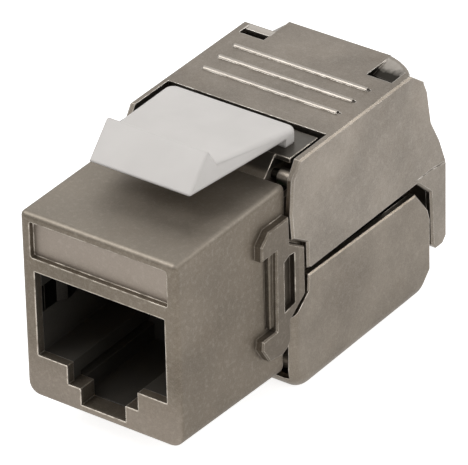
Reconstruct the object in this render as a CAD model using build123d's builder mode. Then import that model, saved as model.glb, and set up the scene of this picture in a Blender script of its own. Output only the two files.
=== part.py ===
"""Shielded keystone jack: cast nose with an RJ45 port, snap latch and two hinged covers.

The row frame has +X across the jack, +Y from the front face to the cable and +Z up. Its origin is
under the middle of the jack, on the plane that the lower cover rests on. Sketches work in depth
behind the front face and in height above the front face's lower edge.
"""
from build123d import *
import os

os.makedirs("parts", exist_ok=True)

# Overall form
LENGTH = 35.1
NOSE_WIDTH = 14.5
NOSE_HEIGHT = 16.3
NOSE_LENGTH = 13.8
NOSE_WALL = 0.6
NOSE_DROP = 0.6
NOSE_ROUND = 0.45
ROOF_ROUND = 0.4
SOLE_ROUND = 1.1
SOLE = 2.6
COVER_OVERHANG = 0.7
COVER_WALL = 0.55
COVER_PLATE = 0.8
COVER_RISE = 1.8
COVER_EDGE = 0.18
COVER_ROUND = 1.0
PARTING = 7.7
PARTING_GAP = 0.2

# Clearances
FIT = 0.05
PIN_RUNNING = 0.04
COVER_GAP = 0.2
LAND_GAP = 0.4
WING_GAP = 0.55
OVERCUT = 0.1

# Port of the plug, centred on the nose
JAMB = 1.2
PORT_ROOF = 11.3
PORT_SHELF = 3.8
TAB_WIDTH = 6.6
TAB_FLOOR = 2.15
KEY_WIDTH = 4.2
KEY_FLOOR = 0.7
CHANNEL_WIDTH = 5.8
BACK_WALL = 3.2
FRAME_DEPTH = 0.8
LIP_DEPTH = 1.7
LIP_MARGIN = 0.5
INSERT_SKIN = 0.25
GUTTER = 0.35
GUTTER_HEIGHT = 0.45

# Nameplate recess over the port
PLATE_WIDTH = 12.7
PLATE_MARGIN = 0.7
PLATE_BAR = 1.15
PLATE_DEPTH = 0.5
PLATE_ROUND = 0.2

# Side lands that snap against the panel
LAND_LOW = 2.1
LAND_DROP = 2.4
LAND_LENGTH = 5.7
LAND_OVERRUN = 1.7
LAND_ARM = 1.9
SMALL_EDGE = 0.12
LAND_HOOK_LOW = 2.5
LAND_HOOK_HIGH = 2.2
WINDOW_LAND = 2.75
WINDOW_WIDTH = 1.4
WINDOW_HALF = 2.4
WINDOW_DEPTH = 0.5
LEDGE_WIDTH = 0.4
LEDGE_RISE = 0.3
LEDGE_MARGIN = 0.3
GROOVE_WIDTH = 0.3
GROOVE_DEPTH = 0.15

# Hinges
UPPER_PIVOT_SETBACK = 1.25
UPPER_PIVOT_DROP = 0.05
LOWER_PIVOT_SETBACK = 2.2
KNUCKLE_RADIUS = 2.3
UPPER_PIN_RADIUS = 0.4
LOWER_PIN_RADIUS = 0.6
UPPER_BOSS_RADIUS = 0.65
UPPER_BOSS_LENGTH = 1.2
LUG_RADIUS = 1.25
LUG_THICKNESS = 1.5
KNUCKLE_OPENING = 0.8
PIN_SKIN = 0.15

# Tower behind the nose
NOSE_UNDERCUT = 0.5
TOWER_LENGTH = 3.2
TOWER_SET = 1.1
TOWER_SILL = 3.7
SILL_THICKNESS = 1.1
BLOCK_SET = 1.75
SEAT_RISE = 1.5
WING_THICKNESS = 0.4
WING_LENGTH = 5.2

# Snap latch
LATCH_REACH = 8.1
LATCH_TIP_RISE = 0.75
LATCH_RAMP = 2.5
LATCH_CREST_RISE = 3.45
LATCH_VALLEY = 3.3
LATCH_VALLEY_RISE = 2.3
LATCH_END_SETBACK = 3.95
LATCH_END_RISE = 1.3
LATCH_FOOT = 1.35
LATCH_FLARE = 0.3
LATCH_TAPER = 0.7
LATCH_CLEARANCE = 0.35
LATCH_ROUND = 0.4
LATCH_CORNER = 0.8
RAMP_ROUND = 0.2
PEG_RADIUS = 0.7
PEG_LENGTH = 0.7

# Rear of the covers
LEG_THICKNESS = 2.0
LEG_FOOT = 0.6
LEG_CHAMFER = 0.6
LEG_GAP = 0.5
PLATE_OPENING_GAP = 0.36
TONGUE_SETBACK = 3.1
TONGUE_SET = 3.1
TONGUE_STEP = 1.4
TIE_SLOT_SETBACK = 6.6
TIE_SLOT_LENGTH = 0.9
TIE_SLOT_SET = 0.75
TIE_BAR = 0.7
SHOULDER = 1.85
CREASE_RISE = 0.7
CREASE_WIDTH = 0.16
CREASE_DEPTH = 0.07
CABLE_HEIGHT = 7.5
CABLE_HOLE_RADIUS = 4.1
RIB_PLACES = (0.34, 0.567, 0.79)
RIB_SET = 1.55
RIB_WIDTH = 0.42
RIB_RISE = 0.15
RIB_EDGE = 0.09
DIMPLE_RADIUS = 0.16
DIMPLE_DEPTH = 0.12

# Contacts, board and wire blocks
CONTACT_COUNT = 8
CONTACT_PITCH = 1.02
CONTACT_WIDTH = 0.4
CONTACT_THICKNESS = 0.3
CONTACT_SLOT = 0.6
CONTACT_RUN_RISE = 1.6
CONTACT_TIP_DROP = 2.6
CONTACT_BEND = 0.45
BOARD_GAP = 0.2
BOARD_THICKNESS = 1.2
BLOCK_LENGTH = 3.4
MANAGER_SETBACK = 6.7
MANAGER_SET = 1.2
MANAGER_LOW = 0.6
MANAGER_RISE = 1.2
CABLE_BORE_RADIUS = 3.4
IDC_PITCH = 3.1
IDC_LOW_ROW = 1.2
IDC_HIGH_ROW = 2.0
IDC_THICKNESS = 0.5
IDC_HEIGHT = 2.2
IDC_LENGTH = 8.6
IDC_THROAT = 0.35
IDC_FORK = 3.0
IDC_LEAD = 0.7
WIRE_SLOT = 1.1
WIRE_SLOT_LENGTH = 2.2
SPRING_THICKNESS = 0.18
SPRING_HEIGHT = 2.2
SPRING_DROP = 1.8
SPRING_CREST_DEPTH = 3.6
SPRING_RISE = 0.3

# Places and widths that follow from the driving dimensions
FACE_Y = -LENGTH / 2
HALF_NOSE = NOSE_WIDTH / 2
HALF_COVER = HALF_NOSE + COVER_OVERHANG
INNER_COVER = HALF_COVER - COVER_WALL
TOWER_HALF = INNER_COVER - COVER_GAP
WING_HALF = INNER_COVER - WING_GAP
CAVITY_HALF = HALF_NOSE - NOSE_WALL
INSERT_HALF = CAVITY_HALF - FIT
PORT_HALF = HALF_NOSE - JAMB
BLOCK_HALF = HALF_NOSE - BLOCK_SET
TONGUE_HALF = HALF_COVER - TONGUE_SET
TIE_SLOT_OUTER = HALF_COVER - TIE_SLOT_SET
RIB_HALF = HALF_COVER - RIB_SET
MANAGER_HALF = INNER_COVER - MANAGER_SET
BOSS_INNER = INNER_COVER - UPPER_BOSS_LENGTH

# Heights
COVER_TOP = NOSE_HEIGHT + COVER_RISE
SEAT_HEIGHT = NOSE_HEIGHT + SEAT_RISE
TOWER_ROOF = NOSE_HEIGHT - TOWER_SET
UPPER_PIVOT_HEIGHT = NOSE_HEIGHT - UPPER_PIVOT_DROP
LOWER_PIVOT_HEIGHT = KNUCKLE_RADIUS - SOLE
CAVITY_FLOOR = KEY_FLOOR - INSERT_SKIN
PLATE_LOW = PORT_ROOF + PLATE_BAR
PLATE_HIGH = NOSE_HEIGHT - PLATE_MARGIN
LAND_HIGH = NOSE_HEIGHT - LAND_DROP
HOOK_LOW = LAND_LOW + LAND_HOOK_LOW
HOOK_HIGH = LAND_HIGH - LAND_HOOK_HIGH
UPPER_EDGE = PARTING + PARTING_GAP
CREASE_HEIGHT = PARTING + CREASE_RISE
CONTACT_RUN_HEIGHT = PORT_ROOF + CONTACT_RUN_RISE
CONTACT_TIP_HEIGHT = PORT_ROOF - CONTACT_TIP_DROP
MANAGER_HIGH = TOWER_ROOF + MANAGER_RISE
IDC_ROWS = (TOWER_SILL + IDC_LOW_ROW, TOWER_ROOF - IDC_HIGH_ROW)
SPRING_HIGH = PORT_ROOF - SPRING_DROP
SPRING_LOW = SPRING_HIGH - SPRING_HEIGHT

# Depths behind the front face
NOSE_REAR_LOW = NOSE_LENGTH - NOSE_UNDERCUT
TOWER_END = NOSE_LENGTH + TOWER_LENGTH
WING_END = NOSE_LENGTH + WING_LENGTH
PORT_DEPTH = NOSE_LENGTH - BACK_WALL
LAND_REAR = NOSE_LENGTH + LAND_OVERRUN
LAND_FRONT = LAND_REAR - LAND_LENGTH
LAND_STEP = LAND_FRONT + LAND_ARM
NOTCH_REAR = LAND_REAR + LAND_GAP
WINDOW_FRONT = LAND_REAR - WINDOW_LAND
UPPER_PIVOT_DEPTH = NOSE_LENGTH + UPPER_PIVOT_SETBACK
LOWER_PIVOT_DEPTH = NOSE_LENGTH + LOWER_PIVOT_SETBACK
PLATE_FRONT = WING_END + PLATE_OPENING_GAP
TIE_SLOT_DEPTH = LENGTH - TIE_SLOT_SETBACK
BAR_END = TIE_SLOT_DEPTH + TIE_SLOT_LENGTH + TIE_BAR
TONGUE_END = LENGTH - TONGUE_SETBACK
LEG_FRONT = LENGTH - LEG_THICKNESS
LOWER_REAR = LEG_FRONT - LEG_GAP
LATCH_TIP_DEPTH = NOSE_LENGTH - LATCH_REACH
LATCH_END_DEPTH = NOSE_LENGTH + LATCH_END_SETBACK
LATCH_FLEX_DEPTH = LATCH_END_DEPTH - LATCH_FOOT
BOARD_FRONT = NOSE_REAR_LOW + BOARD_GAP
BOARD_BACK = BOARD_FRONT + BOARD_THICKNESS
BLOCK_END = TOWER_END + BLOCK_LENGTH
MANAGER_END = LENGTH - MANAGER_SETBACK
FORK_END = BOARD_BACK + IDC_LENGTH


def side_plane(x=0.0):
    """Plane facing +X: its first axis is depth and its second is height."""
    return Plane(origin=(x, FACE_Y, SOLE), x_dir=(0, 1, 0), z_dir=(1, 0, 0))


def face_plane(depth=0.0):
    """Plane facing the front: its first axis is X and its second is height."""
    return Plane(origin=(0, FACE_Y + depth, SOLE), x_dir=(1, 0, 0), z_dir=(0, -1, 0))


def deck_plane(height=0.0):
    """Plane facing up: its first axis is X and its second is depth."""
    return Plane(origin=(0, FACE_Y, SOLE + height), x_dir=(1, 0, 0), z_dir=(0, 0, 1))


def outline(*points):
    """Closed face through the given sketch points, added to the sketch at hand."""
    Polygon(*points, align=None)


def port_outline(floor_width):
    """Stepped opening of an RJ45 plug with its tab channel below, of the given width at its floor."""
    tab, floor = TAB_WIDTH / 2, floor_width / 2
    outline((-PORT_HALF, PORT_ROOF), (-PORT_HALF, PORT_SHELF), (-tab, PORT_SHELF), (-tab, TAB_FLOOR),
            (-floor, TAB_FLOOR), (-floor, KEY_FLOOR), (floor, KEY_FLOOR), (floor, TAB_FLOOR),
            (tab, TAB_FLOOR), (tab, PORT_SHELF), (PORT_HALF, PORT_SHELF), (PORT_HALF, PORT_ROOF))


def finish(part, name):
    """Label a finished piece and write it to its own file."""
    part.part.label = name
    export_step(part.part, f"parts/{name}.step")


# Front housing
with BuildPart() as front_housing:
    with BuildSketch(side_plane()):
        outline((0, 0), (0, NOSE_HEIGHT), (NOSE_LENGTH, NOSE_HEIGHT), (NOSE_LENGTH, LAND_LOW),
                (NOSE_REAR_LOW, LAND_LOW), (NOSE_REAR_LOW, -NOSE_DROP))
    extrude(amount=HALF_NOSE, both=True)
    sole_edges = front_housing.faces().sort_by(Axis.Z)[0].edges().filter_by(Axis.X, reverse=True)
    fillet(sole_edges, radius=SOLE_ROUND)
    roof_edges = front_housing.faces().sort_by(Axis.Z)[-1].edges().filter_by(Axis.Y)
    fillet(roof_edges, radius=ROOF_ROUND)
    fillet(front_housing.faces().sort_by(Axis.Y)[0].edges(), radius=NOSE_ROUND)

    # Tower behind the nose, between the covers
    with BuildSketch(side_plane()):
        outline((NOSE_REAR_LOW - 1, TOWER_SILL - SILL_THICKNESS), (TOWER_END, TOWER_SILL - SILL_THICKNESS),
                (TOWER_END, TOWER_ROOF), (NOSE_REAR_LOW - 1, TOWER_ROOF))
    extrude(amount=TOWER_HALF, both=True)

    # Side lands on the nose, each with its window, and the ledge and groove in front of its middle
    hook_middle = (HOOK_LOW + HOOK_HIGH) / 2
    hook_height = HOOK_HIGH - HOOK_LOW
    for side in (-1, 1):
        with BuildSketch(side_plane(side * (HALF_NOSE - NOSE_WALL / 2))):
            outline((LAND_FRONT + 0.1, LAND_HIGH - 0.9), (LAND_FRONT + 1.1, LAND_HIGH),
                    (LAND_REAR - 2.0, LAND_HIGH), (LAND_REAR - 1.95, HOOK_HIGH - 0.15),
                    (LAND_REAR, HOOK_HIGH - 1.4), (LAND_REAR, HOOK_LOW + 1.5),
                    (LAND_REAR - 2.0, HOOK_LOW + 0.1), (LAND_REAR - 2.0, LAND_LOW + 0.9),
                    (LAND_REAR - 2.4, LAND_LOW + 0.3), (LAND_REAR - 3.1, LAND_LOW),
                    (LAND_FRONT + 0.9, LAND_LOW + 0.3), (LAND_FRONT, LAND_LOW + 1.7),
                    (LAND_FRONT + 0.1, HOOK_LOW), (LAND_STEP, HOOK_LOW), (LAND_STEP + 0.1, HOOK_HIGH),
                    (LAND_FRONT + 0.1, HOOK_HIGH))
        extrude(amount=side * (HALF_COVER - HALF_NOSE + NOSE_WALL / 2))
        land_top = front_housing.faces().sort_by(Axis.X)[-1 if side > 0 else 0]
        chamfer(land_top.edges(), length=SMALL_EDGE)
        with BuildSketch(side_plane(side * HALF_COVER)):
            outline((WINDOW_FRONT, hook_middle - WINDOW_HALF),
                    (WINDOW_FRONT + WINDOW_WIDTH, hook_middle - WINDOW_HALF + 0.2),
                    (WINDOW_FRONT + WINDOW_WIDTH, hook_middle + WINDOW_HALF - 0.1),
                    (WINDOW_FRONT + WINDOW_WIDTH / 2, hook_middle + WINDOW_HALF),
                    (WINDOW_FRONT, hook_middle + WINDOW_HALF - 0.3))
        extrude(amount=-side * WINDOW_DEPTH, mode=Mode.SUBTRACT)
        with BuildSketch(side_plane(side * (HALF_NOSE - NOSE_WALL / 2))):
            with Locations((LAND_STEP - (LEDGE_WIDTH - OVERCUT) / 2, hook_middle)):
                Rectangle(LEDGE_WIDTH + OVERCUT, hook_height - 2 * LEDGE_MARGIN)
        extrude(amount=side * (LEDGE_RISE + NOSE_WALL / 2))
        with BuildSketch(side_plane(side * HALF_NOSE)):
            with Locations((LAND_STEP - LEDGE_WIDTH - GROOVE_WIDTH / 2, hook_middle)):
                Rectangle(GROOVE_WIDTH, hook_height - 2 * LEDGE_MARGIN)
        extrude(amount=-side * GROOVE_DEPTH, mode=Mode.SUBTRACT)

    # Latch seat: block with a sloped front, and a wing over each upper hinge
    with BuildSketch(side_plane()):
        outline((NOSE_LENGTH - 1, TOWER_ROOF - OVERCUT), (NOSE_LENGTH, NOSE_HEIGHT),
                (NOSE_LENGTH + SEAT_RISE, SEAT_HEIGHT), (WING_END, SEAT_HEIGHT),
                (WING_END, SEAT_HEIGHT - 2 * WING_THICKNESS), (TOWER_END, TOWER_ROOF),
                (TOWER_END, TOWER_ROOF - OVERCUT))
    extrude(amount=BLOCK_HALF, both=True)
    with BuildSketch(side_plane()):
        with Locations(((NOSE_LENGTH + SEAT_RISE + WING_END) / 2, SEAT_HEIGHT - WING_THICKNESS / 2)):
            Rectangle(WING_LENGTH - SEAT_RISE, WING_THICKNESS)
    extrude(amount=WING_HALF, both=True)

    # Lower hinge lugs under the tower
    for side in (-1, 1):
        with BuildSketch(side_plane(side * (TOWER_HALF - LUG_THICKNESS))):
            outline((LOWER_PIVOT_DEPTH - LUG_RADIUS / 2, LOWER_PIVOT_HEIGHT), (TOWER_END, LOWER_PIVOT_HEIGHT),
                    (TOWER_END, TOWER_SILL - SILL_THICKNESS / 2),
                    (LOWER_PIVOT_DEPTH - LUG_RADIUS / 2, TOWER_SILL - SILL_THICKNESS / 2))
            with Locations((LOWER_PIVOT_DEPTH, LOWER_PIVOT_HEIGHT)):
                Circle(LUG_RADIUS)
        extrude(amount=side * LUG_THICKNESS)

    # Cavity for the insert, the board and the front of the wire block
    with BuildSketch(side_plane()):
        outline((FRAME_DEPTH, CAVITY_FLOOR), (FRAME_DEPTH, TOWER_ROOF), (TOWER_END, TOWER_ROOF),
                (TOWER_END, TOWER_SILL), (NOSE_REAR_LOW, TOWER_SILL), (NOSE_REAR_LOW, CAVITY_FLOOR))
    extrude(amount=CAVITY_HALF, both=True, mode=Mode.SUBTRACT)

    # Lip under the tab channel, deeper than the rest of the port's frame
    with BuildSketch(face_plane(FRAME_DEPTH - OVERCUT)):
        with Locations((0, (CAVITY_FLOOR - OVERCUT + TAB_FLOOR) / 2)):
            Rectangle(TAB_WIDTH + 2 * LIP_MARGIN, TAB_FLOOR - CAVITY_FLOOR + OVERCUT)
    extrude(amount=-(LIP_DEPTH - FRAME_DEPTH + OVERCUT))

    # Port and nameplate recess in the front wall
    with BuildSketch(face_plane()):
        port_outline(KEY_WIDTH)
    extrude(amount=-LIP_DEPTH, mode=Mode.SUBTRACT)
    with BuildSketch(face_plane()):
        with Locations((0, (PLATE_LOW + PLATE_HIGH) / 2)):
            RectangleRounded(PLATE_WIDTH, PLATE_HIGH - PLATE_LOW, PLATE_ROUND)
    extrude(amount=-PLATE_DEPTH, mode=Mode.SUBTRACT)

    # Holes for the hinge pins and the latch's pegs
    with BuildSketch(side_plane()):
        with Locations((UPPER_PIVOT_DEPTH, UPPER_PIVOT_HEIGHT)):
            Circle(UPPER_PIN_RADIUS)
    extrude(amount=BLOCK_HALF, both=True, mode=Mode.SUBTRACT)
    with BuildSketch(side_plane()):
        with Locations((LOWER_PIVOT_DEPTH, LOWER_PIVOT_HEIGHT)):
            Circle(LOWER_PIN_RADIUS)
    extrude(amount=TOWER_HALF, both=True, mode=Mode.SUBTRACT)
    peg_depth = (LATCH_FLEX_DEPTH + LATCH_END_DEPTH) / 2
    with BuildSketch(deck_plane(SEAT_HEIGHT)):
        with Locations((-BLOCK_HALF / 2, peg_depth), (BLOCK_HALF / 2, peg_depth)):
            Circle(PEG_RADIUS + COVER_GAP)
    extrude(amount=-(PEG_LENGTH + COVER_GAP), mode=Mode.SUBTRACT)
finish(front_housing, "front_housing")

# Snap latch: wedge, flexing arm and a foot with two pegs
with BuildPart() as snap_latch:
    with BuildSketch(side_plane()):
        outline((LATCH_TIP_DEPTH, SEAT_HEIGHT + LATCH_TIP_RISE),
                (LATCH_TIP_DEPTH + LATCH_RAMP, SEAT_HEIGHT + LATCH_CREST_RISE),
                (LATCH_TIP_DEPTH + LATCH_VALLEY, SEAT_HEIGHT + LATCH_VALLEY_RISE),
                (LATCH_END_DEPTH, SEAT_HEIGHT + LATCH_END_RISE),
                (LATCH_END_DEPTH + 0.3, SEAT_HEIGHT), (LATCH_FLEX_DEPTH, SEAT_HEIGHT),
                (LATCH_FLEX_DEPTH, SEAT_HEIGHT + LATCH_CLEARANCE))
    extrude(amount=BLOCK_HALF + LATCH_FLARE, both=True)
    tip_half = BLOCK_HALF - LATCH_TAPER
    end_half = BLOCK_HALF + LATCH_FLARE
    with BuildSketch(deck_plane(SEAT_HEIGHT)):
        outline((-tip_half, LATCH_TIP_DEPTH - OVERCUT), (tip_half, LATCH_TIP_DEPTH - OVERCUT),
                (end_half, LATCH_END_DEPTH + 0.4), (-end_half, LATCH_END_DEPTH + 0.4))
    extrude(amount=LATCH_CREST_RISE + OVERCUT, mode=Mode.INTERSECT)
    foot_corners = snap_latch.faces().sort_by(Axis.Y)[-1].edges().filter_by(Axis.X, reverse=True)
    fillet(foot_corners, radius=LATCH_CORNER)
    arm_top = snap_latch.faces().sort_by(SortBy.AREA)[-2:].sort_by(Axis.Z)[-1]
    fillet(arm_top.edges().sort_by(Axis.Y)[1:], radius=LATCH_ROUND)
    fillet(snap_latch.faces().sort_by(Axis.Y)[0].edges().filter_by(Axis.X, reverse=True), radius=RAMP_ROUND)
    fillet(snap_latch.edges().filter_by(Axis.X).group_by(Axis.Z)[-1], radius=RAMP_ROUND)
    with BuildSketch(deck_plane(SEAT_HEIGHT + OVERCUT)):
        with Locations((-BLOCK_HALF / 2, peg_depth), (BLOCK_HALF / 2, peg_depth)):
            Circle(PEG_RADIUS)
    extrude(amount=-(PEG_LENGTH + OVERCUT))
finish(snap_latch, "snap_latch")

# Upper cover
with BuildPart() as upper_cover:
    with BuildSketch(side_plane()):
        outline((NOSE_LENGTH + 1.25, COVER_TOP), (NOSE_LENGTH + 0.3, COVER_TOP - 1.4),
                (NOSE_LENGTH, LAND_HIGH), (NOSE_LENGTH + 0.2, HOOK_HIGH - 0.1),
                (NOTCH_REAR, HOOK_HIGH - 1.3), (NOTCH_REAR + 0.05, UPPER_EDGE + 0.2),
                (NOTCH_REAR + 0.4, UPPER_EDGE), (LEG_FRONT - 2.1, UPPER_EDGE),
                (LEG_FRONT - 0.25, UPPER_EDGE - 1.7), (LEG_FRONT, LEG_FOOT + LEG_CHAMFER),
                (LEG_FRONT + LEG_CHAMFER, LEG_FOOT), (LENGTH - LEG_CHAMFER, LEG_FOOT),
                (LENGTH, LEG_FOOT + LEG_CHAMFER), (LENGTH, PARTING + 2 * PARTING_GAP),
                (LENGTH - 0.9, COVER_TOP - 7.7), (LENGTH - 2.1, COVER_TOP - 5.5),
                (LENGTH - 2.4, COVER_TOP - 3.9), (LENGTH - 2.65, COVER_TOP - 2.4),
                (TONGUE_END, COVER_TOP - TONGUE_STEP), (TONGUE_END, COVER_TOP))
    extrude(amount=HALF_COVER, both=True)
    for cheek in (upper_cover.faces().sort_by(Axis.X)[0], upper_cover.faces().sort_by(Axis.X)[-1]):
        chamfer(cheek.edges(), length=COVER_EDGE)

    # Hollow between the cheeks, open to the front and below
    rear_inner = TONGUE_END - 0.5
    with BuildSketch(side_plane()):
        outline((NOSE_LENGTH - 1, COVER_TOP - COVER_PLATE), (BAR_END - COVER_PLATE, COVER_TOP - COVER_PLATE),
                (rear_inner - 0.4, COVER_TOP - 2.2), (rear_inner, COVER_TOP - 3.4),
                (rear_inner + 0.5, COVER_TOP - 5.8), (LEG_FRONT - 0.1, COVER_TOP - 8.2),
                (LEG_FRONT, -SOLE), (NOSE_LENGTH - 1, -SOLE))
    extrude(amount=INNER_COVER, both=True, mode=Mode.SUBTRACT)

    # Gap between the arms for the latch
    with BuildSketch(deck_plane(COVER_TOP + OVERCUT)):
        with Locations((0, (NOSE_LENGTH + PLATE_FRONT) / 2)):
            Rectangle(2 * INNER_COVER, PLATE_FRONT - NOSE_LENGTH)
    extrude(amount=-(COVER_PLATE + 2 * OVERCUT), mode=Mode.SUBTRACT)

    # Cable arch between the legs
    with BuildSketch(face_plane(rear_inner - 1)):
        with Locations((0, CABLE_HEIGHT)):
            Circle(CABLE_HOLE_RADIUS)
        with Locations((0, (CABLE_HEIGHT - SOLE) / 2)):
            Rectangle(2 * CABLE_HOLE_RADIUS, CABLE_HEIGHT + SOLE)
    extrude(amount=-(LENGTH - rear_inner + 2), mode=Mode.SUBTRACT)

    # Beside the tongue: tie slots, sloped corners behind their bars, and a rising shoulder on each corner
    for side in (-1, 1):
        with BuildSketch(side_plane(side * TONGUE_HALF)):
            outline((BAR_END, COVER_TOP + 1), (BAR_END, COVER_TOP), (TONGUE_END, COVER_TOP - TONGUE_STEP),
                    (TONGUE_END + 1, COVER_TOP - TONGUE_STEP), (TONGUE_END + 1, COVER_TOP + 1))
        extrude(amount=side * (TONGUE_SET + OVERCUT), mode=Mode.SUBTRACT)
        with BuildSketch(deck_plane(COVER_TOP + OVERCUT)):
            with Locations((side * (TONGUE_HALF + TIE_SLOT_OUTER) / 2, TIE_SLOT_DEPTH + TIE_SLOT_LENGTH / 2)):
                Rectangle(TIE_SLOT_OUTER - TONGUE_HALF, TIE_SLOT_LENGTH)
        extrude(amount=-(COVER_PLATE + 2 * OVERCUT), mode=Mode.SUBTRACT)
        root = side * (TONGUE_HALF - OVERCUT)
        with BuildSketch(face_plane(TONGUE_END)):
            outline((root, COVER_TOP), (root, COVER_TOP - TONGUE_STEP - OVERCUT),
                    (side * (TONGUE_HALF + SHOULDER), COVER_TOP - TONGUE_STEP - OVERCUT))
        with BuildSketch(face_plane(BAR_END + 2 * OVERCUT)):
            outline((root, COVER_TOP - 3 * OVERCUT), (root, COVER_TOP - 5 * OVERCUT),
                    (root + 4 * side * OVERCUT, COVER_TOP - 5 * OVERCUT))
        loft(ruled=True)

    # Crease that carries the parting line on to the rear edge
    crease_end = PARTING + 2 * PARTING_GAP
    for side in (-1, 1):
        with BuildSketch(side_plane(side * HALF_COVER)):
            outline((BAR_END, CREASE_HEIGHT), (LEG_FRONT, CREASE_HEIGHT), (LENGTH + OVERCUT, crease_end),
                    (LENGTH + OVERCUT, crease_end - CREASE_WIDTH), (LEG_FRONT, CREASE_HEIGHT - CREASE_WIDTH))
        extrude(amount=-side * CREASE_DEPTH, mode=Mode.SUBTRACT)

    # Finger ribs, each with a dimple at its end
    for place in RIB_PLACES:
        rib_depth = PLATE_FRONT + place * (TIE_SLOT_DEPTH - PLATE_FRONT)
        with BuildSketch(deck_plane(COVER_TOP - OVERCUT)):
            with Locations((0, rib_depth)):
                SlotOverall(2 * RIB_HALF, RIB_WIDTH)
        extrude(amount=RIB_RISE + OVERCUT)
    chamfer(upper_cover.faces().group_by(Axis.Z)[-1].edges(), length=RIB_EDGE)
    for place in RIB_PLACES:
        rib_depth = PLATE_FRONT + place * (TIE_SLOT_DEPTH - PLATE_FRONT)
        with BuildSketch(deck_plane(COVER_TOP + RIB_RISE)):
            with Locations((RIB_HALF, rib_depth)):
                Circle(DIMPLE_RADIUS)
        extrude(amount=-(RIB_RISE + DIMPLE_DEPTH), mode=Mode.SUBTRACT)

    # Hinge bosses inside the arms, with blind holes for the pins
    for side in (-1, 1):
        with BuildSketch(side_plane(side * BOSS_INNER)):
            with Locations((UPPER_PIVOT_DEPTH, UPPER_PIVOT_HEIGHT)):
                Circle(UPPER_BOSS_RADIUS)
        extrude(amount=side * (UPPER_BOSS_LENGTH + OVERCUT))
        with BuildSketch(side_plane(side * BOSS_INNER)):
            with Locations((UPPER_PIVOT_DEPTH, UPPER_PIVOT_HEIGHT)):
                Circle(UPPER_PIN_RADIUS + PIN_RUNNING)
        extrude(amount=side * (HALF_COVER - PIN_SKIN - BOSS_INNER), mode=Mode.SUBTRACT)
finish(upper_cover, "upper_cover")

# Lower cover
with BuildPart() as lower_cover:
    lower_edge = PARTING - PARTING_GAP
    with BuildSketch(side_plane()):
        with BuildLine():
            knuckle_front = (LOWER_PIVOT_DEPTH - KNUCKLE_RADIUS, LOWER_PIVOT_HEIGHT)
            knuckle_foot = (LOWER_PIVOT_DEPTH, LOWER_PIVOT_HEIGHT - KNUCKLE_RADIUS)
            RadiusArc(knuckle_front, knuckle_foot, -KNUCKLE_RADIUS)
            Polyline(knuckle_foot, (LOWER_REAR - 1.9, -SOLE), (LOWER_REAR - 0.9, -SOLE + 1.0),
                     (LOWER_REAR, -SOLE + 1.9), (LOWER_REAR, lower_edge - 3.55),
                     (LOWER_REAR - 0.4, lower_edge - 2.3), (LOWER_REAR - 1.9, lower_edge - 0.4),
                     (NOTCH_REAR + 0.1, lower_edge),
                     (NOTCH_REAR, HOOK_LOW + 1.4), (knuckle_front[0] + 0.55, HOOK_LOW + 0.1),
                     (knuckle_front[0], HOOK_LOW - 0.2), knuckle_front)
        make_face()
    extrude(amount=HALF_COVER, both=True)
    fillet(lower_cover.faces().sort_by(Axis.Z)[0].edges().filter_by(Axis.Y), radius=COVER_ROUND)
    for cheek in (lower_cover.faces().sort_by(Axis.X)[0], lower_cover.faces().sort_by(Axis.X)[-1]):
        chamfer(cheek.edges().sort_by(Axis.Z)[-3:], length=SMALL_EDGE)

    # Hollow between the cheeks, round the hinge lugs in front
    with BuildSketch(side_plane()):
        knuckle_inner = KNUCKLE_RADIUS - COVER_WALL
        with BuildLine():
            inner_front = (LOWER_PIVOT_DEPTH - knuckle_inner, LOWER_PIVOT_HEIGHT)
            inner_foot = (LOWER_PIVOT_DEPTH, LOWER_PIVOT_HEIGHT - knuckle_inner)
            RadiusArc(inner_front, inner_foot, -knuckle_inner)
            Polyline(inner_foot, (LOWER_REAR - 1.8, LOWER_PIVOT_HEIGHT - knuckle_inner),
                     (LOWER_REAR - 1.0, LOWER_PIVOT_HEIGHT), (LOWER_REAR - 1.0, COVER_TOP),
                     (LAND_FRONT, COVER_TOP), (LAND_FRONT, LOWER_PIVOT_HEIGHT), inner_front)
        make_face()
        with Locations(((LAND_FRONT + LOWER_PIVOT_DEPTH) / 2, LOWER_PIVOT_HEIGHT)):
            Rectangle(LOWER_PIVOT_DEPTH - LAND_FRONT, 2 * KNUCKLE_OPENING)
    extrude(amount=INNER_COVER, both=True, mode=Mode.SUBTRACT)

    # Cable trough in the rear wall
    with BuildSketch(face_plane(LOWER_REAR - 1.5)):
        with Locations((0, CABLE_HEIGHT)):
            Circle(CABLE_HOLE_RADIUS)
    extrude(amount=-3, mode=Mode.SUBTRACT)

    # Blind holes for the hinge pins
    for side in (-1, 1):
        with BuildSketch(side_plane(side * (INNER_COVER - OVERCUT))):
            with Locations((LOWER_PIVOT_DEPTH, LOWER_PIVOT_HEIGHT)):
                Circle(LOWER_PIN_RADIUS + PIN_RUNNING)
        extrude(amount=side * (COVER_WALL + OVERCUT - PIN_SKIN), mode=Mode.SUBTRACT)
finish(lower_cover, "lower_cover")

# Hinge pins, pressed into the housing and running in the covers
pin_end = HALF_COVER - 1.5 * PIN_SKIN
for side, side_name in ((-1, "left"), (1, "right")):
    with BuildPart() as hinge_pin_upper:
        with BuildSketch(side_plane(side * (BLOCK_HALF - LUG_THICKNESS))):
            with Locations((UPPER_PIVOT_DEPTH, UPPER_PIVOT_HEIGHT)):
                Circle(UPPER_PIN_RADIUS)
        extrude(amount=side * (pin_end - BLOCK_HALF + LUG_THICKNESS))
    finish(hinge_pin_upper, f"hinge_pin_upper_{side_name}")
    with BuildPart() as hinge_pin_lower:
        with BuildSketch(side_plane(side * (TOWER_HALF - LUG_THICKNESS))):
            with Locations((LOWER_PIVOT_DEPTH, LOWER_PIVOT_HEIGHT)):
                Circle(LOWER_PIN_RADIUS)
        extrude(amount=side * (pin_end - TOWER_HALF + LUG_THICKNESS))
    finish(hinge_pin_lower, f"hinge_pin_lower_{side_name}")

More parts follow.
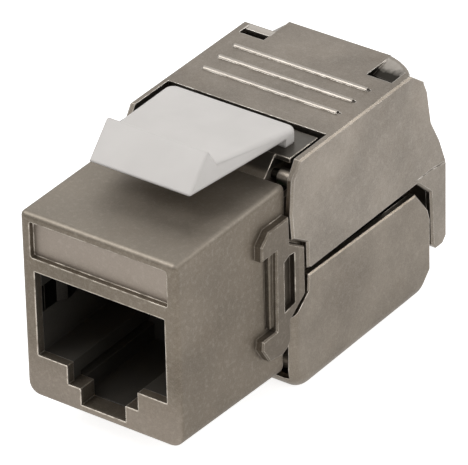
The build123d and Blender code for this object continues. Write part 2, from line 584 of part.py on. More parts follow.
# Port insert
contact_places = [(i - (CONTACT_COUNT - 1) / 2) * CONTACT_PITCH for i in range(CONTACT_COUNT)]
insert_low = CAVITY_FLOOR + FIT
insert_high = TOWER_ROOF - FIT
with BuildPart() as port_insert:
    with BuildSketch(face_plane(FRAME_DEPTH)):
        with Locations((0, (insert_low + insert_high) / 2)):
            Rectangle(2 * INSERT_HALF, insert_high - insert_low)
    extrude(amount=-(NOSE_REAR_LOW - FRAME_DEPTH))
    with BuildSketch(face_plane(FRAME_DEPTH)):
        port_outline(CHANNEL_WIDTH)
    extrude(amount=-(PORT_DEPTH - FRAME_DEPTH), mode=Mode.SUBTRACT)

    # Room for the lip of the housing under the tab channel
    with BuildSketch(face_plane(FRAME_DEPTH)):
        with Locations((0, (CAVITY_FLOOR + TAB_FLOOR + FIT) / 2)):
            Rectangle(TAB_WIDTH + 2 * (LIP_MARGIN + FIT), TAB_FLOOR + FIT - CAVITY_FLOOR)
    extrude(amount=-(LIP_DEPTH + FIT - FRAME_DEPTH), mode=Mode.SUBTRACT)

    # Comb in the roof for the contacts, open to the rear along their upper runs
    comb_top = CONTACT_RUN_HEIGHT + CONTACT_THICKNESS / 2 + FIT
    with BuildSketch(face_plane(FRAME_DEPTH + 1)):
        for x in contact_places:
            with Locations((x, (PORT_ROOF - OVERCUT + comb_top) / 2)):
                Rectangle(CONTACT_SLOT, comb_top - PORT_ROOF + OVERCUT)
    extrude(amount=-(PORT_DEPTH - FRAME_DEPTH - 1), mode=Mode.SUBTRACT)
    run_bottom = CONTACT_RUN_HEIGHT - CONTACT_THICKNESS / 2 - FIT
    with BuildSketch(face_plane(PORT_DEPTH - OVERCUT)):
        for x in contact_places:
            with Locations((x, (run_bottom + comb_top) / 2)):
                Rectangle(CONTACT_SLOT, comb_top - run_bottom)
    extrude(amount=-(NOSE_REAR_LOW - PORT_DEPTH + OVERCUT), mode=Mode.SUBTRACT)

    # Gutters in the sides of the tab channel and recesses for the side springs
    with BuildSketch(face_plane(LIP_DEPTH)):
        with Locations((0, TAB_FLOOR + GUTTER_HEIGHT / 2)):
            Rectangle(TAB_WIDTH + 2 * GUTTER, GUTTER_HEIGHT)
    extrude(amount=-(PORT_DEPTH - LIP_DEPTH), mode=Mode.SUBTRACT)
    with BuildSketch(face_plane(FRAME_DEPTH)):
        with Locations((0, (SPRING_LOW + SPRING_HIGH) / 2)):
            Rectangle(2 * (PORT_HALF + SPRING_THICKNESS + FIT), SPRING_HEIGHT + 2 * FIT)
    extrude(amount=-(PORT_DEPTH - FRAME_DEPTH), mode=Mode.SUBTRACT)
finish(port_insert, "port_insert")

# Ground springs: thin strips on the port's side walls, bowed towards the plug
for side, side_name in ((-1, "left"), (1, "right")):
    wall = PORT_HALF + SPRING_THICKNESS / 2
    crest = wall - SPRING_RISE - SPRING_THICKNESS
    with BuildPart() as ground_spring:
        with BuildSketch(deck_plane(SPRING_LOW)):
            with BuildLine():
                Polyline((side * wall, FRAME_DEPTH + 0.3), (side * wall, SPRING_CREST_DEPTH - 1.0),
                         (side * crest, SPRING_CREST_DEPTH - 0.2), (side * crest, SPRING_CREST_DEPTH + 0.2),
                         (side * wall, SPRING_CREST_DEPTH + 2.4), (side * wall, PORT_DEPTH - 1))
            trace(line_width=SPRING_THICKNESS)
        extrude(amount=SPRING_HEIGHT)
    finish(ground_spring, f"ground_spring_{side_name}")

# Spring contacts: from the board along the comb, round the front and back down into the port
for number, x in enumerate(contact_places, start=1):
    with BuildPart() as contact:
        with BuildSketch(side_plane(x - CONTACT_WIDTH / 2)):
            with BuildLine():
                FilletPolyline((BOARD_FRONT, CONTACT_RUN_HEIGHT), (LIP_DEPTH + 1, CONTACT_RUN_HEIGHT),
                               (PORT_DEPTH - 1.2, CONTACT_TIP_HEIGHT), radius=CONTACT_BEND)
            trace(line_width=CONTACT_THICKNESS)
        extrude(amount=CONTACT_WIDTH)
    finish(contact, f"contact_{number}")

# Circuit board
tower_middle = (TOWER_SILL + TOWER_ROOF) / 2
tower_room = TOWER_ROOF - TOWER_SILL - 2 * FIT
with BuildPart() as circuit_board:
    with BuildSketch(face_plane(BOARD_FRONT)):
        with Locations((0, tower_middle)):
            Rectangle(2 * INSERT_HALF, tower_room)
    extrude(amount=-BOARD_THICKNESS)
finish(circuit_board, "circuit_board")

# Wire block that holds the forked contacts
idc_places = [(i - 1.5) * IDC_PITCH for i in range(4)]
with BuildPart() as idc_block:
    with BuildSketch(face_plane(BOARD_BACK)):
        with Locations((0, tower_middle)):
            Rectangle(2 * INSERT_HALF, tower_room)
    extrude(amount=-(BLOCK_END - BOARD_BACK))
    with BuildSketch(face_plane(TOWER_END + COVER_GAP)):
        with Locations((0, (MANAGER_LOW + TOWER_ROOF) / 2)):
            RectangleRounded(2 * MANAGER_HALF, TOWER_ROOF - MANAGER_LOW, PLATE_ROUND)
    extrude(amount=-(BLOCK_END - TOWER_END - COVER_GAP))
    with BuildSketch(face_plane(BOARD_BACK)):
        for height in IDC_ROWS:
            for x in idc_places:
                with Locations((x, height)):
                    Rectangle(IDC_THICKNESS + 2 * FIT, IDC_HEIGHT + 2 * FIT)
    extrude(amount=-(BLOCK_END - BOARD_BACK), mode=Mode.SUBTRACT)
finish(idc_block, "idc_block")

# Forked contacts, standing out of the wire block
for row, height in enumerate(IDC_ROWS):
    for column, x in enumerate(idc_places):
        with BuildPart() as idc:
            with BuildSketch(side_plane(x - IDC_THICKNESS / 2)):
                with Locations((BOARD_BACK + IDC_LENGTH / 2, height)):
                    Rectangle(IDC_LENGTH, IDC_HEIGHT)
                with BuildLine():
                    Polyline((FORK_END - IDC_FORK, height - IDC_THROAT / 2),
                             (FORK_END - IDC_LEAD, height - IDC_THROAT / 2),
                             (FORK_END, height - IDC_HEIGHT / 3), (FORK_END, height + IDC_HEIGHT / 3),
                             (FORK_END - IDC_LEAD, height + IDC_THROAT / 2),
                             (FORK_END - IDC_FORK, height + IDC_THROAT / 2), close=True)
                make_face(mode=Mode.SUBTRACT)
            extrude(amount=IDC_THICKNESS)
        finish(idc, f"idc_{4 * row + column + 1}")

# Wire manager: cable bore behind, slots over the forks in front and a wire slot for each
with BuildPart() as wire_manager:
    with BuildSketch(face_plane(BLOCK_END)):
        with Locations((0, (MANAGER_LOW + MANAGER_HIGH) / 2)):
            RectangleRounded(2 * MANAGER_HALF, MANAGER_HIGH - MANAGER_LOW, COVER_ROUND)
    extrude(amount=-(MANAGER_END - BLOCK_END))
    with BuildSketch(face_plane(BLOCK_END)):
        for height in IDC_ROWS:
            for x in idc_places:
                with Locations((x, height)):
                    Rectangle(IDC_THICKNESS + 4 * FIT, IDC_HEIGHT + 4 * FIT)
    extrude(amount=-(FORK_END + COVER_GAP - BLOCK_END), mode=Mode.SUBTRACT)
    with BuildSketch(face_plane(MANAGER_END)):
        with Locations((0, CABLE_HEIGHT)):
            Circle(CABLE_BORE_RADIUS)
    extrude(amount=(MANAGER_END - BLOCK_END) / 2, mode=Mode.SUBTRACT)
    wire_depth = (BLOCK_END + FORK_END) / 2
    with BuildSketch(deck_plane(MANAGER_HIGH)):
        with Locations(*[(x, wire_depth) for x in idc_places]):
            SlotOverall(WIRE_SLOT_LENGTH, WIRE_SLOT, rotation=90)
    extrude(amount=-(MANAGER_HIGH - IDC_ROWS[1] + IDC_HEIGHT / 2), mode=Mode.SUBTRACT)
    with BuildSketch(deck_plane(MANAGER_LOW)):
        with Locations(*[(x, wire_depth) for x in idc_places]):
            SlotOverall(WIRE_SLOT_LENGTH, WIRE_SLOT, rotation=90)
    extrude(amount=IDC_ROWS[0] + IDC_HEIGHT / 2 - MANAGER_LOW, mode=Mode.SUBTRACT)
finish(wire_manager, "wire_manager")
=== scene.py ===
"""Looks of the shielded keystone jack: materials, two pieces shaped to the photo, floor, light and camera.

The materials find their places in object coordinates, which are the frame's own while the jack is at rest:
across and along from its middle, and up from the floor. They are written in millimetres.
"""
import math
import bmesh
import bpy
from mathutils import Matrix, Vector


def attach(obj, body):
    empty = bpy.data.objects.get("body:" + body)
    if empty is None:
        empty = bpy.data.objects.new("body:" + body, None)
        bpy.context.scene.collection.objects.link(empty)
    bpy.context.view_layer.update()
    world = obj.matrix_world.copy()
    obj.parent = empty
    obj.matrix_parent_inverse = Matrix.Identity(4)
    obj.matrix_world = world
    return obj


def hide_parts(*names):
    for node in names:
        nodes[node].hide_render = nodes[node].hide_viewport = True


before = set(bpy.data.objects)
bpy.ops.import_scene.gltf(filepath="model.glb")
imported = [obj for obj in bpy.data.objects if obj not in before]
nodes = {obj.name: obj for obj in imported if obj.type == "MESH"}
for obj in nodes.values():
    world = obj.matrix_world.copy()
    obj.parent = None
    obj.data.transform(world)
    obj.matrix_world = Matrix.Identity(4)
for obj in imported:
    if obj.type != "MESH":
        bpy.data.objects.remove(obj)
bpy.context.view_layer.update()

MM = 0.001
HALF_LENGTH = 17.55
NOSE_LOW = 2.6
WELD = 0.0005
CREASE = math.radians(28)
scene = bpy.context.scene


class Shader:
    """A node material, built up by short calls."""

    def __init__(self, name):
        self.material = bpy.data.materials.new(name)
        self.material.use_nodes = True
        self.tree = self.material.node_tree
        self.tree.nodes.clear()
        self.output = self.add("ShaderNodeOutputMaterial")
        self.surface = self.add("ShaderNodeBsdfPrincipled")
        self.link(self.surface.outputs["BSDF"], self.output.inputs["Surface"])
        self.place = self.add("ShaderNodeTexCoord").outputs["Object"]
        self.x, self.y, self.z = self.parts(self.place)

    def add(self, kind, **values):
        node = self.tree.nodes.new(kind)
        for key, value in values.items():
            setattr(node, key, value)
        return node

    def link(self, source, target):
        self.tree.links.new(source, target)

    def put(self, target, value):
        """Links a socket, or sets a plain value."""
        if isinstance(value, bpy.types.NodeSocket):
            self.link(value, target)
        else:
            target.default_value = value

    def set(self, **values):
        """Sets the shader's own sockets, with underscores for the spaces in their names."""
        for key, value in values.items():
            self.put(self.surface.inputs[key.replace("_", " ")], value)

    def parts(self, source):
        """The three numbers of a place or a direction."""
        node = self.add("ShaderNodeSeparateXYZ")
        self.link(source, node.inputs[0])
        return node.outputs

    def stretch(self, scale):
        """Object coordinates scaled along each axis."""
        mapping = self.add("ShaderNodeMapping")
        self.link(self.place, mapping.inputs["Vector"])
        mapping.inputs["Scale"].default_value = scale
        return mapping.outputs["Vector"]

    def noise(self, size, detail=2.0, rough=0.5, scale=(1, 1, 1)):
        """Noise with features about this many millimetres across."""
        node = self.add("ShaderNodeTexNoise")
        self.link(self.stretch(scale), node.inputs["Vector"])
        node.inputs["Scale"].default_value = 1 / (size * MM)
        node.inputs["Detail"].default_value = detail
        node.inputs["Roughness"].default_value = rough
        return node.outputs["Fac"]

    def cells(self, size):
        """Distance pattern of cells about this many millimetres across."""
        node = self.add("ShaderNodeTexVoronoi", feature="F1")
        self.link(self.place, node.inputs["Vector"])
        node.inputs["Scale"].default_value = 1 / (size * MM)
        return node.outputs["Distance"]

    def remap(self, value, low, high, to_low=0.0, to_high=1.0):
        """Takes one range to another, and holds at its ends what lies outside it."""
        node = self.add("ShaderNodeMapRange")
        self.put(node.inputs["Value"], value)
        node.inputs["From Min"].default_value = low
        node.inputs["From Max"].default_value = high
        node.inputs["To Min"].default_value = to_low
        node.inputs["To Max"].default_value = to_high
        return node.outputs["Result"]

    def fade(self, value, low, high, to_low=0.0, to_high=1.0):
        """Takes a range of places in millimetres to another range, as remap does."""
        return self.remap(value, low * MM, high * MM, to_low, to_high)

    def math(self, operation, first, second=0.0):
        node = self.add("ShaderNodeMath", operation=operation)
        self.put(node.inputs[0], first)
        self.put(node.inputs[1], second)
        return node.outputs[0]

    def times(self, first, second):
        return self.math("MULTIPLY", first, second)

    def scaled(self, value, mask, factor):
        """A value multiplied by this factor where the mask is 1."""
        return self.times(value, self.remap(mask, 0.0, 1.0, 1.0, factor))

    def mix(self, factor, first, second):
        node = self.add("ShaderNodeMix", data_type="RGBA")
        self.put(node.inputs[0], factor)
        self.put(node.inputs[6], first)
        self.put(node.inputs[7], second)
        return node.outputs[2]

    def tint(self, colour, mask, share, tone):
        """A colour that takes this share of a tone where the mask is 1."""
        return self.mix(self.times(mask, share), colour, tone)

    def rounded(self, radius):
        """Normal with edges rounded by this many millimetres."""
        node = self.add("ShaderNodeBevel", samples=8)
        node.inputs["Radius"].default_value = radius * MM
        return node.outputs["Normal"]

    def edges(self, radius, low=0.02, high=0.25):
        """1 near the edges, 0 on flat faces: on the castings it places both edges that hands and tooling rub
        bright and painted highlights.
        """
        flat = self.add("ShaderNodeNewGeometry").outputs["True Normal"]
        dot = self.add("ShaderNodeVectorMath", operation="DOT_PRODUCT")
        self.link(self.rounded(radius), dot.inputs[0])
        self.link(flat, dot.inputs[1])
        return self.remap(self.math("SUBTRACT", 1.0, dot.outputs["Value"]), low, high)

    def crevices(self, distance):
        """1 in narrow corners, 0 in the open."""
        node = self.add("ShaderNodeAmbientOcclusion", samples=8)
        node.inputs["Distance"].default_value = distance * MM
        return self.remap(node.outputs["AO"], 0.95, 0.35)

    def band(self, value, low, high, soft=0.05):
        """1 between two places in millimetres, 0 outside them."""
        return self.times(self.fade(value, low - soft, low), self.fade(value, high, high + soft, 1.0, 0.0))

    def inside(self, box):
        """1 in a box on either side of the jack, given by its ranges across, along and up."""
        across, along, up = box
        flat = self.times(self.band(self.math("ABSOLUTE", self.x), *across), self.band(self.y, *along))
        return self.times(flat, self.band(self.z, *up))

    def bump(self, height, strength, distance, normal):
        """Relief of this many millimetres on top of another normal."""
        node = self.add("ShaderNodeBump")
        node.inputs["Strength"].default_value = strength
        node.inputs["Distance"].default_value = distance * MM
        self.link(height, node.inputs["Height"])
        self.link(normal, node.inputs["Normal"])
        return node.outputs["Normal"]


def rgb(red, green, blue):
    """Colour written in sRGB levels of 0 to 255."""
    levels = [c / 255 for c in (red, green, blue)]
    return tuple(c / 12.92 if c < 0.04045 else ((c + 0.055) / 1.055) ** 2.4 for c in levels) + (1.0,)


# By casting: share of flecks, share of painted shade in corners, width of rubbed and highlit edges, rounding
# of edges, share of metal
CASTINGS = {
    "nose": (0.16, 0.35, 0.22, 0.14, 0.82),
    "upper cover": (0.09, 0.35, 0.16, 0.08, 1.0),
    "lower cover": (0.09, 0.12, 0.16, 0.08, 1.0),
}

# Boxes on the castings with looks of their own: ranges across, along and up
SLOT_CHUTE = (4.8, 7.25), (10.8, 14.4), (19.6, 20.66)
SLOT_STRIP = (4.8, 7.25), (11.8, 12.45), (20.4, 20.8)
COVER_CORNER = (7.45, 8.0), (-3.0, 20.0), (19.9, 21.0)
FINGER_RIBS = (0.0, 6.6), (-4.0, 14.0), (20.6, 20.9)
NAMEPLATE = (0.0, 6.3), (-17.3, -16.9), (15.1, 18.15)
SIDE_LAND = (7.72, 8.1), (-8.6, -2.9), (4.0, 17.2)
LAND_WINDOW = (7.3, 7.88), (-4.9, -3.3), (7.5, 13.5)
LAND_LEDGE = (7.0, 7.7), (-8.2, -5.7), (4.0, 17.0)
PORT_FRAME = (0.0, 6.4), (-17.7, -17.2), (2.9, 14.2)

# Ranges in one direction: across (RIGHT_SIDE), along (CHUTE_SHADE, NOSE_FRONT), and up (the others)
RIGHT_SIDE = 0.0, 1.0
CHUTE_SHADE = 12.85, 13.45
NOSE_FRONT = -17.4, -17.2
NOSE_ROOF = 18.8, 19.2
LATCH_SEAT = 19.2, 19.5
RIB_CRESTS = 20.71, 20.75
SILL = 4.0, 8.0

# Tones laid over the castings' own colours: a stain, the side lands' darker tone, and painted shade,
# reflection and sheen
STAIN = rgb(98, 84, 68)
CORNER_SHADE = rgb(56, 48, 40)
DEEP_SHADE = rgb(36, 32, 27)
SEAT_REFLECTION = rgb(74, 72, 68)
LAND_TONE = rgb(70, 62, 54)
WINDOW_SHADE = rgb(60, 53, 46)
FRONT_SHEEN = rgb(200, 188, 178)
RIM_SHEEN = rgb(190, 176, 156)


def cast_metal(name, casting, dark, light, rubbed_and_highlight_tone, rough):
    """Satin plated casting: cloudy, stained, bright along its edges from rubbing and painted highlights, and
    duller in its corners from painted shade.
    """
    flecks, corner_shade, rubbed_and_highlight_width, rounding, metal = CASTINGS[casting]
    s = Shader(name)
    cloud = s.remap(s.noise(7.0), 0.36, 0.64)
    mottle = s.remap(s.noise(1.9, 4.0, 0.6), 0.3, 0.7)
    stain = s.remap(s.noise(3.2, 3.0, 0.7), 0.52, 0.78)
    grain = s.noise(0.11, 2.0, 0.6)
    fleck = s.remap(s.noise(0.45, 3.0, 0.7), 0.5, 0.8)
    pits = s.remap(s.cells(0.42), 0.0, 0.16, 1.0, 0.0)
    colour = s.mix(s.math("ADD", s.times(cloud, 0.6), s.times(mottle, 0.4)), dark, light)
    colour = s.tint(colour, stain, 0.3, STAIN)
    colour = s.tint(colour, s.remap(grain, 0.35, 0.65), 0.08, rubbed_and_highlight_tone)
    colour = s.tint(colour, fleck, flecks, rubbed_and_highlight_tone)
    finish = s.remap(mottle, 0.0, 1.0, rough, rough + 0.08)

    # Whole faces, under the painted shade in corners
    if casting == "upper cover":
        right_side = s.fade(s.x, *RIGHT_SIDE)
        chute = s.times(s.inside(SLOT_CHUTE), right_side)
        strip = s.times(s.inside(SLOT_STRIP), s.math("SUBTRACT", 1.0, right_side))
        ragged = s.math("ADD", s.y, s.times(s.noise(0.4, 3.0), 0.8 * MM))
        deep = s.times(chute, s.fade(ragged, *CHUTE_SHADE, 1.0, 0.0))
        # Painted highlights on the right slot's slope and on a strip in the left slot, then painted shade
        # deep in the right slot
        colour = s.mix(s.math("MAXIMUM", s.times(chute, 0.3), s.times(strip, 0.45)), colour, rubbed_and_highlight_tone)
        colour = s.tint(colour, deep, 0.93, DEEP_SHADE)
    elif casting == "nose":
        seat = s.fade(s.z, *LATCH_SEAT)
        # Painted light along the nose's roof
        colour = s.tint(colour, s.band(s.z, *NOSE_ROOF, soft=0.2), 0.22, rubbed_and_highlight_tone)
        colour = s.tint(colour, s.inside(NAMEPLATE), 0.32, FRONT_SHEEN)
        # Painted dark reflection on the latch seat, which is also glossier
        colour = s.tint(colour, seat, 0.8, SEAT_REFLECTION)
        finish = s.math("SUBTRACT", finish, s.times(seat, 0.16))
    else:
        upward = s.remap(s.parts(s.add("ShaderNodeNewGeometry").outputs["Normal"])[2], 0.5, 0.8)
        colour = s.tint(colour, upward, 0.2, RIM_SHEEN)
    # Painted shade in the corners, from ambient occlusion
    colour = s.tint(colour, s.crevices(0.35), corner_shade, CORNER_SHADE)

    # Edges rubbed bright and painted with highlights, broken up by noise, and details on top of the painted
    # shade in corners
    rubbed_and_highlit = s.edges(rubbed_and_highlight_width, 0.015, 0.15)
    edge = s.times(rubbed_and_highlit, s.remap(s.noise(0.8, 3.0), 0.38, 0.6, 0.2, 1.0))
    if casting == "upper cover":
        # Painted highlight along the finger ribs' crests
        rib = s.times(s.fade(s.z, *RIB_CRESTS), s.inside(FINGER_RIBS))
        colour = s.tint(colour, rib, 0.22, rubbed_and_highlight_tone)
        for mask, factor in ((deep, 0.05), (s.inside(COVER_CORNER), 0.6), (rib, 0.6)):
            edge = s.scaled(edge, mask, factor)
    elif casting == "nose":
        front = s.fade(s.y, *NOSE_FRONT, 0.16, 0.0)
        window = s.inside(LAND_WINDOW)
        colour = s.tint(colour, s.inside(SIDE_LAND), 0.3, LAND_TONE)
        colour = s.mix(s.times(front, s.fade(s.z, *SILL, 1.0, 0.0)), colour, FRONT_SHEEN)
        # Painted shade inside the side land's window
        colour = s.tint(colour, window, 0.7, WINDOW_SHADE)
        # Stronger painted highlights round the port's frame, and fewer in the land's window and on its ledge
        edge = s.scaled(edge, s.inside(PORT_FRAME), 1.8)
        edge = s.scaled(edge, s.math("MAXIMUM", window, s.inside(LAND_LEDGE)), 0.1)
    colour = s.tint(colour, edge, 0.9, rubbed_and_highlight_tone)

    finish = s.math("SUBTRACT", s.math("ADD", finish, s.times(grain, 0.06)), s.times(edge, 0.08))
    relief = s.math("SUBTRACT", s.math("ADD", s.times(grain, 0.5), s.noise(0.8, 3.0)), s.times(pits, 0.4))
    s.set(Base_Color=colour, Metallic=metal, Roughness=finish)
    s.set(Normal=s.bump(relief, 0.2, 0.02, s.rounded(rounding)))
    return s.material


def latch_plastic():
    """White moulded plastic, greyed in its corners by painted shade, with soft edges."""
    s = Shader("latch_white")
    cloud = s.remap(s.noise(3.5), 0.3, 0.7)
    grain = s.noise(0.12, 2.0, 0.6)
    colour = s.mix(cloud, rgb(214, 210, 206), rgb(221, 217, 213))
    # Painted shade in the corners
    colour = s.tint(colour, s.crevices(0.5), 0.3, rgb(170, 165, 160))
    s.set(Base_Color=colour, Roughness=s.remap(grain, 0.3, 0.7, 0.42, 0.54), Specular_IOR_Level=0.4)
    s.set(Normal=s.bump(grain, 0.12, 0.01, s.rounded(0.25)))
    return s.material


def dark_plastic():
    """Black moulded plastic with faint flow marks and paler edges."""
    s = Shader("moulded_black")
    grain = s.noise(0.1, 2.0, 0.6)
    flow = s.noise(2.2, scale=(1, 0.3, 1))
    colour = s.mix(s.remap(flow, 0.3, 0.7), rgb(48, 45, 41), rgb(60, 57, 52))
    colour = s.tint(colour, s.edges(0.1), 0.35, rgb(96, 92, 85))
    s.set(Base_Color=colour, Roughness=s.remap(grain, 0.3, 0.7, 0.4, 0.6))
    s.set(Normal=s.bump(grain, 0.2, 0.01, s.rounded(0.08)))
    return s.material


def bright_metal(name, dark, light, scale, rough=0.28):
    """Stamped or drawn metal with fine lines along its length."""
    s = Shader(name)
    lines = s.noise(0.09, 3.0, 0.6, scale)
    stain = s.remap(s.noise(0.9), 0.4, 0.75)
    colour = s.mix(s.remap(lines, 0.3, 0.7), dark, light)
    colour = s.tint(colour, stain, 0.25, dark)
    s.set(Base_Color=colour, Metallic=1.0, Roughness=s.remap(lines, 0.3, 0.7, rough, rough + 0.14))
    s.set(Normal=s.bump(lines, 0.2, 0.006, s.rounded(0.05)))
    return s.material


def board():
    """Green solder mask over glass cloth, with a brick pattern that stands in for the tracks under it."""
    s = Shader("solder_mask")
    bricks = s.add("ShaderNodeTexBrick")
    s.link(s.place, bricks.inputs["Vector"])
    bricks.inputs["Scale"].default_value = 1 / (1.6 * MM)
    bricks.inputs["Mortar Size"].default_value = 0.06
    tracks = bricks.outputs["Fac"]
    cloth = s.noise(0.14, 1.0)
    colour = s.mix(s.remap(cloth, 0.3, 0.7), rgb(12, 62, 34), rgb(20, 78, 44))
    colour = s.tint(colour, tracks, 0.6, rgb(46, 110, 62))
    s.set(Base_Color=colour, Roughness=s.remap(cloth, 0.3, 0.7, 0.3, 0.42))
    s.set(Normal=s.bump(tracks, 0.3, 0.02, s.rounded(0.06)))
    return s.material


housing_metal = cast_metal("cast_housing", "nose", rgb(100, 91, 79), rgb(121, 111, 98),
                           rgb(214, 205, 192), 0.44)
cover_metal = cast_metal("cast_cover", "upper cover", rgb(110, 102, 92), rgb(140, 131, 120),
                         rgb(232, 226, 218), 0.3)
lower_metal = cast_metal("cast_lower_cover", "lower cover", rgb(106, 97, 86), rgb(135, 126, 114),
                         rgb(226, 218, 207), 0.31)
black = dark_plastic()
finishes = {
    "front_housing": housing_metal,
    "upper_cover": cover_metal,
    "lower_cover": lower_metal,
    "snap_latch": latch_plastic(),
    "port_insert": black,
    "idc_block": black,
    "wire_manager": black,
    "circuit_board": board(),
}
gold = bright_metal("gold_plate", rgb(196, 150, 70), rgb(232, 190, 104), (1, 0.15, 0.5), 0.2)
tin = bright_metal("tin_plate", rgb(168, 166, 160), rgb(206, 204, 198), (1, 0.2, 1))
# Pins and springs: dark drawn metal, darkened as painted shade so that they look shaded in their recesses
shaded_steel = bright_metal("drawn_steel", rgb(44, 41, 38), rgb(66, 63, 58), (0.15, 1, 1))

# The many small pieces take their finish by the first word of their name: pins and springs are steel
by_kind = {"contact": gold, "idc": tin}
for name, node in nodes.items():
    node.data.materials.clear()
    node.data.materials.append(finishes.get(name) or by_kind.get(name.split("_")[0], shaded_steel))


def at(across, depth, height):
    """A point in metres from its place across, behind the nose's front face and over that face's foot."""
    return Vector((across, depth - HALF_LENGTH, height + NOSE_LOW)) * MM


def solid_through(name, sections):
    """Closed solid through outlines with as many corners each."""
    count = len(sections[0])
    last = (len(sections) - 1) * count
    faces = [tuple(range(count)), tuple(reversed(range(last, last + count)))]
    for start in range(0, last, count):
        for k in range(count):
            here, after = start + k, start + (k + 1) % count
            faces.append((here, here + count, after + count, after))
    mesh = bpy.data.meshes.new(name)
    mesh.from_pydata([at(*corner) for outline in sections for corner in outline], [], faces)
    shape = bmesh.new()
    shape.from_mesh(mesh)
    bmesh.ops.triangulate(shape, faces=shape.faces)
    bmesh.ops.recalc_face_normals(shape, faces=shape.faces)
    shape.to_mesh(mesh)
    shape.free()
    solid = bpy.data.objects.new(name, mesh)
    scene.collection.objects.link(solid)
    return solid


def copy_of(name, piece_name):
    """A piece with the welded mesh of a CAD node and its finish, without the CAD's stored normals."""
    shape = bmesh.new()
    shape.from_mesh(nodes[name].data)
    bmesh.ops.remove_doubles(shape, verts=shape.verts, dist=WELD * MM)
    mesh = bpy.data.meshes.new(piece_name)
    shape.to_mesh(mesh)
    shape.free()
    if "custom_normal" in mesh.attributes:
        mesh.attributes.remove(mesh.attributes["custom_normal"])
    mesh.materials.append(finishes[name])
    piece = bpy.data.objects.new(piece_name, mesh)
    scene.collection.objects.link(piece)
    return piece


def settle(piece, name, body):
    """Smooth shading apart from the creases, in place of the CAD node and on its body."""
    for face in piece.data.polygons:
        face.use_smooth = True
    piece.data.set_sharp_from_angle(angle=CREASE)
    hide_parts(name)
    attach(piece, body)


# Upper cover with a rounded right shoulder, and slopes down into its tie slots. SKIN keeps the shoulder just
# under the cover's top, and the cutters for the slopes start CLEAR of the faces that they cut.
TOP, SLOT_REAR, TONGUE_SIDE, SLOT_SIDE = 18.1, 29.4, 4.86, 7.19
SHOULDER_START, SKIN, CLEAR, LEFT_END = 29.7, 0.005, 0.1, 30.04
cover = copy_of("upper_cover", "upper_cover_shell")
rim = [(4.7, 31.99), (5.1, 31.96), (5.8, 31.72), (6.5, 31.36), (7.1, 30.95), (7.55, 30.5), (7.8, 30.05)]
shoulder = solid_through("shoulder", [
    [(x, SHOULDER_START, TOP - SKIN), (x, SHOULDER_START, TOP - 0.7), (x, depth - 0.02, TOP - 1.5),
     (x, depth, TOP - 0.12), (x, depth - 0.1, TOP - SKIN)]
    for x, depth in rim])
ridge = [(TONGUE_SIDE, 31.8, 0.5), (5.4, 31.66, 0.56), (6.0, 31.42, 0.6), (6.6, 31.0, 0.58),
         (SLOT_SIDE, 30.5, 0.5)]
right_chute = solid_through("right_chute", [
    [(x, SLOT_REAR - CLEAR, TOP + CLEAR), (x, SLOT_REAR - CLEAR, TOP - drop),
     (x, SLOT_REAR + 0.7, TOP - 0.6 * drop), (x, depth, TOP + 0.02), (x, depth, TOP + CLEAR)]
    for x, depth, drop in ridge])
left_chute = solid_through("left_chute", [
    [(x, SLOT_REAR - CLEAR, TOP + CLEAR), (x, SLOT_REAR - CLEAR, TOP - 0.14),
     (x, LEFT_END, TOP + 0.01), (x, LEFT_END, TOP + CLEAR)]
    for x in (-SLOT_SIDE, -TONGUE_SIDE)])
for solid, operation in ((shoulder, "UNION"), (right_chute, "DIFFERENCE"), (left_chute, "DIFFERENCE")):
    step = cover.modifiers.new(solid.name, "BOOLEAN")
    step.operation = operation
    step.solver = "EXACT"
    step.object = solid
carved = bpy.data.meshes.new_from_object(cover.evaluated_get(bpy.context.evaluated_depsgraph_get()))
cover.modifiers.clear()
cover.data = carved
for solid in (shoulder, right_chute, left_chute):
    bpy.data.objects.remove(solid)
settle(cover, "upper_cover", "upper_cover_body")

# Latch in the photo's outline: a valley behind its wedge, and an arm that flares and thins to its root. It
# sits a little askew, so its two sides differ. Depths are behind the front face, heights over the floor.
TIP, RAMP_END, FLEX, ARM_END = 5.7, 8.2, 16.4, 18.0
FOOT_TOP, VALLEY_FLOOR = 20.41, 22.3
UNDERSIDE, VALLEY = (20.6, 21.3), (8.6, 9.4)
LIFT, VALLEY_DROP = 0.42, 0.25
latch = copy_of("snap_latch", "latch_arm")
for vertex in latch.data.vertices:
    depth = vertex.co.y / MM + HALF_LENGTH
    height = vertex.co.z / MM
    cad_half = 4.8 + (depth - TIP + 0.1) / 12.55
    along = min(max((depth - RAMP_END) / (ARM_END - RAMP_END), 0.0), 1.0)
    right_half = 4.5 + 1.5 * along
    left_half = 4.9 if depth < RAMP_END + 0.2 else 5.2 + 0.9 * along
    if height > FOOT_TOP:
        vertex.co.x *= (right_half if vertex.co.x > 0 else left_half) / cad_half
    if UNDERSIDE[0] < height < UNDERSIDE[1] and depth < FLEX + 0.1:
        vertex.co.z += LIFT * max((depth - TIP) / (FLEX - TIP), 0.0) * MM
    if VALLEY[0] < depth < VALLEY[1] and height > VALLEY_FLOOR:
        vertex.co.z -= VALLEY_DROP * MM
settle(latch, "snap_latch", "latch")


def seen_rays(tree):
    """1 for the rays that show the surroundings: the camera's, reflected and transmitted ones."""
    path = tree.nodes.new("ShaderNodeLightPath")
    total = path.outputs["Is Camera Ray"]
    for other in ("Is Glossy Ray", "Is Transmission Ray"):
        node = tree.nodes.new("ShaderNodeMath")
        node.operation = "MAXIMUM"
        tree.links.new(total, node.inputs[0])
        tree.links.new(path.outputs[other], node.inputs[1])
        total = node.outputs[0]
    return total


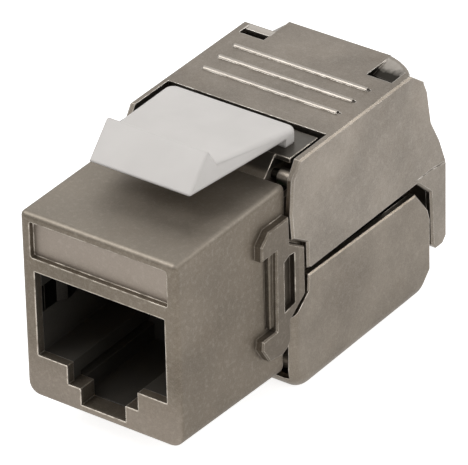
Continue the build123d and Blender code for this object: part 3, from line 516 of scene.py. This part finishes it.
# Floor, a wide pale sheet that the camera sees as white outside the object's shadow
REACH = 3
GLOW_SEEN, GLOW_CAMERA = 0.6, 0.2
floor_mesh = bpy.data.meshes.new("floor")
floor_corners = [(-REACH, -REACH, 0), (REACH, -REACH, 0), (REACH, REACH, 0), (-REACH, REACH, 0)]
floor_mesh.from_pydata(floor_corners, [], [(0, 1, 2, 3)])
floor = bpy.data.objects.new("floor", floor_mesh)
scene.collection.objects.link(floor)
paper = Shader("paper")
paper.set(Base_Color=rgb(238, 238, 238), Roughness=0.9, Emission_Color=(1, 1, 1, 1))
seen = seen_rays(paper.tree)
by_camera = paper.add("ShaderNodeLightPath").outputs["Is Camera Ray"]
glow = paper.math("ADD", paper.times(seen, GLOW_SEEN), paper.times(by_camera, GLOW_CAMERA))
paper.set(Emission_Strength=glow)
floor_mesh.materials.append(paper.material)

# Plain white surroundings for the camera, softer for the light on the object
LIGHT_LEVEL, SEEN_LEVEL = 0.38, 0.6
world = bpy.data.worlds.new("studio")
scene.world = world
world.use_nodes = True
background = world.node_tree.nodes["Background"]
background.inputs["Color"].default_value = (1, 1, 1, 1)
level = world.node_tree.nodes.new("ShaderNodeMapRange")
world.node_tree.links.new(seen_rays(world.node_tree), level.inputs["Value"])
level.inputs["To Min"].default_value = LIGHT_LEVEL
level.inputs["To Max"].default_value = SEEN_LEVEL
world.node_tree.links.new(level.outputs["Result"], background.inputs["Strength"])


def lamp(name, place, target, size, power):
    """Soft square lamp that faces a point, with places and size in millimetres."""
    light = bpy.data.lights.new(name, "AREA")
    light.shape = "SQUARE"
    light.size = size * MM
    light.energy = power
    holder = bpy.data.objects.new(name, light)
    scene.collection.objects.link(holder)
    holder.location = Vector(place) * MM
    holder.rotation_euler = (Vector(target) - Vector(place)).to_track_quat("-Z", "Y").to_euler()


lamp("key", (-160, -150, 320), (0, 0, 10), 220, 0.64)
lamp("fill", (300, -60, 160), (0, 0, 10), 200, 0.24)
lamp("back", (-150, 290, 220), (0, 0, 12), 260, 0.13)
lamp("rim", (185, 240, 175), (0, 0, 14), 90, 0.14)

# Camera at the photograph's place: long lens, turned and tilted as solved from the object's edges
AZIMUTH, ELEVATION, ROLL = math.radians(36.09), math.radians(31.81), math.radians(1.377)
CAMERA_PLACE = 0.204486, -0.280761, 0.225796
FOCAL_LENGTH, SENSOR_WIDTH = 407.1, 36
forward = Vector((-math.sin(AZIMUTH) * math.cos(ELEVATION), math.cos(AZIMUTH) * math.cos(ELEVATION),
                  -math.sin(ELEVATION)))
level_right = Vector((math.cos(AZIMUTH), math.sin(AZIMUTH), 0))
level_down = forward.cross(level_right)
right = math.cos(ROLL) * level_right + math.sin(ROLL) * level_down
down = -math.sin(ROLL) * level_right + math.cos(ROLL) * level_down
lens = bpy.data.cameras.new("camera")
lens.lens = FOCAL_LENGTH
lens.sensor_width = SENSOR_WIDTH
lens.clip_start = 0.01
lens.clip_end = 10
camera = bpy.data.objects.new("camera", lens)
scene.collection.objects.link(camera)
turn = Matrix((right, -down, -forward)).transposed().to_4x4()
camera.matrix_world = Matrix.Translation(CAMERA_PLACE) @ turn
scene.camera = camera
scene.view_settings.view_transform = "Standard"
